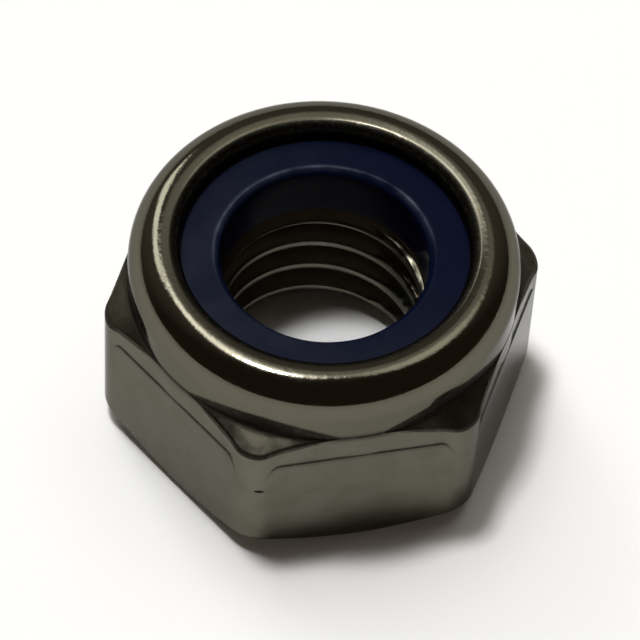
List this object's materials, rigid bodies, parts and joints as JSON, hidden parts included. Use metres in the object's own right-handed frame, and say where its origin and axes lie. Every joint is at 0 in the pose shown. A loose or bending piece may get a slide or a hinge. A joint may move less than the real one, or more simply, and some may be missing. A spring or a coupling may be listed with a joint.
{
  "type": "self-locking nut",
  "caption": "Hexagon self-locking nut: chamfered steel body with a metric thread and a rolled-in collar that holds a dark blue plastic ring, which grips the bolt.",
  "frame": {"origin": "centre of the bearing face, on the thread's axis", "axes": "+Z along the thread's axis from the bearing face to the rolled lip, X through two opposite corners, Y square to two opposite flats"},
  "size_m": [0.0146, 0.013, 0.008],
  "materials": {
    "steel": "plain plated steel, smooth and glossy, with fine forming marks and light scuffs",
    "ring_plastic": "dark blue polyamide, satin, with a paler scuffed inner edge"
  },
  "bodies": {
    "root": {"nut_body": "steel", "locking_ring": "ring_plastic"}
  },
  "joints": []
}
